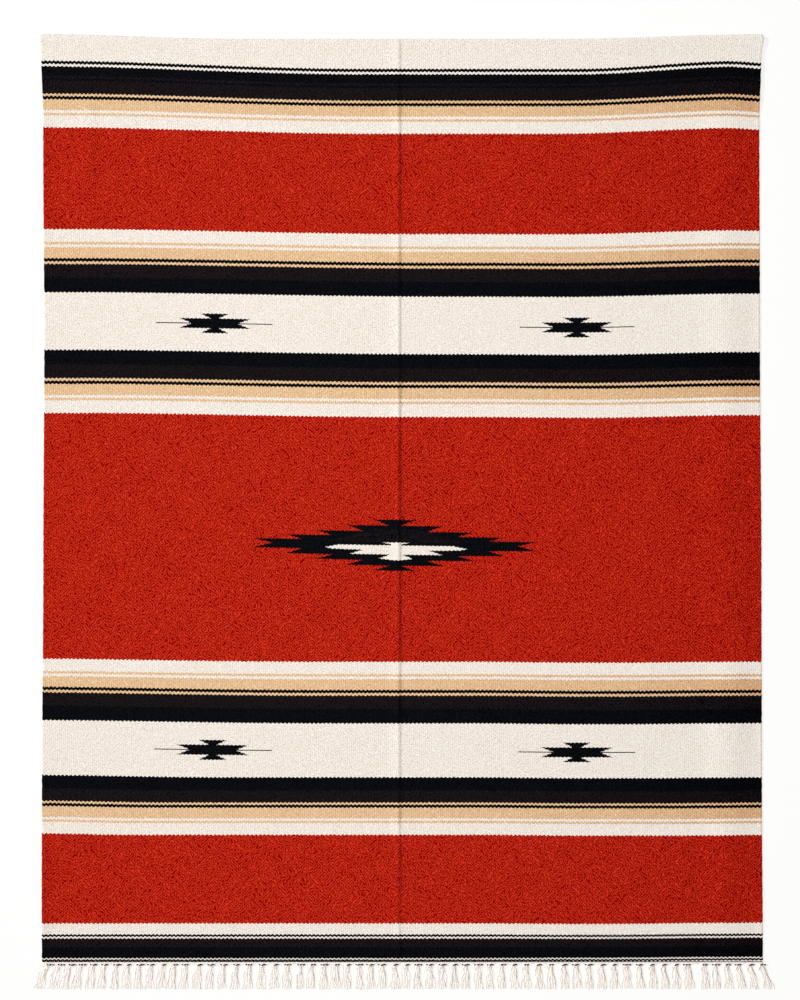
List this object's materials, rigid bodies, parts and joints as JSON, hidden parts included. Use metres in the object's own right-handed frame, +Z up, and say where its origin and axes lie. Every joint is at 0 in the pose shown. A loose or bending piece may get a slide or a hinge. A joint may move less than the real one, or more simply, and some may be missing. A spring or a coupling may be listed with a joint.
{
  "type": "striped blanket",
  "caption": "Hand-woven blanket laid flat, with red, black, tan and white bands, serrated diamonds, one end turned under at a soft fold and a knotted fringe at the other.",
  "frame": {"origin": "middle of the blanket's outline with its fringe, on the surface that it lies on", "axes": "+Z up out of the shown face, +Y along the length to the folded end, +X to the right as seen from above"},
  "size_m": [1.5678, 2.0268, 0.0111],
  "materials": {
    "striped_wool": "weft-faced wool with crosswise bands of red, black, tan and undyed white, dry and matt with a faint nap",
    "undyed_warp": "undyed plied warp yarn, matt, loosely twisted"
  },
  "bodies": {
    "root": {"blanket_cloth": "striped_wool", "warp_fringe": "undyed_warp"}
  },
  "joints": []
}
